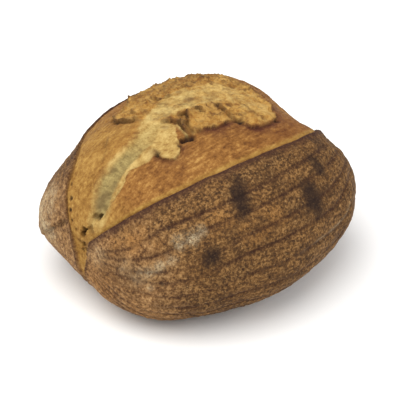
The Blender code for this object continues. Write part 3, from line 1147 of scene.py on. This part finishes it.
def crust_colour(n, speckle, mottle, flecks):
    """Speckled brown crust with darker and lighter zones, golden patches and rings darkened along their
    grooves.
    """
    broad = n.noise(45.0, 3.0, 0.5)
    weave = n.noise(1.0, 3.0, 0.6, (140.0, 620.0, 1.0), flow=True)
    zones = n.math("MULTIPLY", n.noise(62.0, 4.0, 0.6, (0.5, 1.0, 1.0)), n.fade(flecks, 0.30, 0.55))
    colour = n.ramp(n.blend(n.blend(flecks, mottle, 0.25), weave, 0.25), CRUST)
    colour = n.mix(n.attribute("pale_near_end"), colour, n.ramp(n.blend(flecks, mottle, 0.35), PALE_NEAR_END_CRUST))
    colour = n.tint(colour, DARK_CRUST, 0.5, n.fade(broad, 0.48, 0.68))
    colour = n.tint(colour, LIGHT_CRUST, 0.5, n.fade(zones, 0.44, 0.66))
    colour = n.tint(colour, PALE_SPECK, 0.45, n.specks(700.0, 0.10, 0.40, 0.22))
    colour = n.tint(colour, GOLDEN_CRUST, 0.75, n.attribute("gold"), n.fade(flecks, 0.34, 0.60))
    return n.tint(colour, RING_BROWN, 0.9, n.attribute("groove"), n.fade(speckle, 0.28, 0.52))


def opening_colour(n, speckle, mottle, flecks):
    """Golden slopes, torn and pale skin, crumb, and scorched bands under the torn edges."""
    streak = n.noise(420.0, 5.0, 0.65, (0.3, 1.0, 1.0))
    patches = n.noise(75.0, 3.0, 0.55)
    strand = n.noise(1.0, 3.0, 0.6, (460.0, 130.0, 1.0), flow=True)
    grain = n.blend(n.blend(streak, flecks, 0.4), patches, 0.25)
    skin = n.blend(speckle, mottle, 0.6)
    fibres = n.blend(n.blend(speckle, mottle, 0.5), strand, 0.45)
    # Painted shade on the far front slope of the bloom, then painted light on its near slope, with the
    # paler band by the front lip and in the tail.
    colour = n.tint(n.ramp(grain, BLOOM), SHADED_BLOOM, 0.6, n.attribute("shade"))
    colour = n.mix(n.attribute("light"), colour, n.ramp(grain, LIT_AND_PALE_BLOOM))
    colour = n.mix(n.attribute("torn"), colour, n.ramp(n.blend(skin, patches, 0.3), TORN_SKIN))
    colour = n.mix(n.attribute("pale"), colour, n.ramp(n.blend(skin, patches, 0.4), PALE_SKIN))
    colour = n.mix(n.attribute("crumb"), colour, n.ramp(fibres, CRUMB))
    return n.tint(colour, SCORCHED, 0.9, n.attribute("scorch"), n.fade(speckle, 0.14, 0.48))


def loaf_material():
    """Baked crust and opening, blended by the loaf's masks, with flour, browning and painted shade over
    both.
    """
    material = bpy.data.materials.new("baked_loaf")
    material.use_nodes = True
    n = Nodes(material)
    shader = material.node_tree.nodes["Principled BSDF"]

    speckle = n.noise(900.0, 3.0, 0.7)
    mottle = n.noise(260.0, 4.0, 0.65)
    flecks = n.noise(520.0, 4.0, 0.75)
    crust = crust_colour(n, speckle, mottle, flecks)
    opening = opening_colour(n, speckle, mottle, flecks)
    colour = n.mix(n.attribute("bloom"), crust, opening)
    powder = n.blend(n.fade(speckle, 0.40, 0.62), n.fade(mottle, 0.40, 0.60), 0.30)
    colour = n.tint(colour, FLOUR, 1.0, n.attribute("flour"), powder)
    # Browning, and painted shade in the crease under the lips and under the folds of the sheet.
    colour = n.tint(colour, TOASTED_AND_SHADED, 0.95, n.attribute("toast_and_shade"), n.fade(speckle, 0.15, 0.50))
    # Charred spots on the crust, and painted shade in holes and at the feet of torn edges and flake steps.
    colour = n.tint(colour, CHARRED_AND_SHADED, 0.9, n.attribute("char_and_shade"), n.fade(speckle, 0.10, 0.45))
    # Painted shadow in the recesses under the torn edges.
    colour = n.tint(colour, RECESS_SHADOW, 0.95, n.attribute("pit"))
    n.link(colour, shader.inputs["Base Color"])
    n.link(n.fade(speckle, 0.3, 0.7, *ROUGHNESS), shader.inputs["Roughness"])
    shader.inputs["Specular IOR Level"].default_value = 0.25

    relief = n.blend(n.noise(1000.0, 3.0, 0.7), n.noise(300.0, 3.0, 0.6), 0.5)
    bump = n.new("ShaderNodeBump")
    bump.inputs["Strength"].default_value = 0.8
    bump.inputs["Distance"].default_value = RELIEF_DEPTH
    n.link(relief, bump.inputs["Height"])
    n.link(bump.outputs["Normal"], shader.inputs["Normal"])
    return material


# ---------------------------------------------------------------- stage

# Degrees and metres, except for the sensor's width in millimetres. The view's width is measured at
# the loaf, and the aim is moved to the right and down by the two shifts.
CAMERA_AZIMUTH = -45.7
CAMERA_ELEVATION = 33.0
CAMERA_DISTANCE = 0.700
VIEW_WIDTH = 0.272
SENSOR = 36.0
SHIFT_RIGHT = 0.0040
SHIFT_DOWN = 0.0180


def make_camera(middle):
    """Camera that looks down on the near front of the loaf."""
    azimuth = math.radians(CAMERA_AZIMUTH)
    elevation = math.radians(CAMERA_ELEVATION)
    back = Vector(
        (
            math.sin(azimuth) * math.cos(elevation),
            -math.cos(azimuth) * math.cos(elevation),
            math.sin(elevation),
        )
    )
    right = Vector((math.cos(azimuth), math.sin(azimuth), 0.0))
    up = back.cross(right)
    data = bpy.data.cameras.new("camera")
    data.sensor_width = SENSOR
    data.lens = SENSOR * CAMERA_DISTANCE / VIEW_WIDTH
    camera = bpy.data.objects.new("camera", data)
    bpy.context.scene.collection.objects.link(camera)
    target = Vector((-middle[0] * MM, -middle[1] * MM, HEIGHT * MM / 2.0))
    target = target + right * SHIFT_RIGHT - up * SHIFT_DOWN
    camera.location = target + back * CAMERA_DISTANCE
    camera.rotation_mode = "QUATERNION"
    camera.rotation_quaternion = back.to_track_quat("Z", "Y")
    bpy.context.scene.camera = camera


def add_area_light(name, place, aim, size, watts, colour):
    """Soft rectangular light."""
    data = bpy.data.lights.new(name, "AREA")
    data.shape = "RECTANGLE"
    data.size, data.size_y = size
    data.energy = watts
    data.color = colour
    light = bpy.data.objects.new(name, data)
    light.location = place
    light.rotation_mode = "QUATERNION"
    light.rotation_quaternion = (Vector(place) - Vector(aim)).to_track_quat("Z", "Y")
    bpy.context.scene.collection.objects.link(light)


# Metres, watts and strengths.
FLOOR_HALF = 3.0
FLOOR_GAP = 0.0002
FLOOR_SHADE = (0.93, 0.93, 0.93, 1.0)
SKY_STRENGTH = 0.62
LIGHT_AIM = (0.0, 0.0, 0.05)
LIGHTS = (
    ("key", (-0.50, 0.10, 1.20), (1.5, 1.5), 14.0, (1.0, 0.98, 0.95)),
    ("fill", (0.3, -1.1, 0.8), (0.9, 0.6), 4.0, (1.0, 1.0, 1.0)),
)


def make_stage():
    """Pale floor, soft lights and a pale world."""
    mesh = bpy.data.meshes.new("floor")
    half = FLOOR_HALF
    corners = [(-half, -half, 0.0), (half, -half, 0.0), (half, half, 0.0), (-half, half, 0.0)]
    mesh.from_pydata(corners, [], [(0, 1, 2, 3)])
    floor = bpy.data.objects.new("floor", mesh)
    floor.location.z = -FLOOR_GAP
    bpy.context.scene.collection.objects.link(floor)
    material = bpy.data.materials.new("pale_floor")
    material.use_nodes = True
    shader = material.node_tree.nodes["Principled BSDF"]
    shader.inputs["Base Color"].default_value = FLOOR_SHADE
    shader.inputs["Roughness"].default_value = 0.9
    shader.inputs["Specular IOR Level"].default_value = 0.1
    mesh.materials.append(material)

    world = bpy.data.worlds.new("studio")
    world.use_nodes = True
    background = world.node_tree.nodes["Background"]
    background.inputs["Color"].default_value = (1.0, 1.0, 1.0, 1.0)
    background.inputs["Strength"].default_value = SKY_STRENGTH
    bpy.context.scene.world = world

    for name, place, size, watts, colour in LIGHTS:
        add_area_light(name, place, LIGHT_AIM, size, watts, colour)
    scene = bpy.context.scene
    scene.view_settings.view_transform = "Standard"
    scene.view_settings.look = "Medium High Contrast"


piece, middle = build_loaf()
piece.data.materials.append(loaf_material())
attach(piece, "root")
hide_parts("loaf")
make_stage()
make_camera(middle)
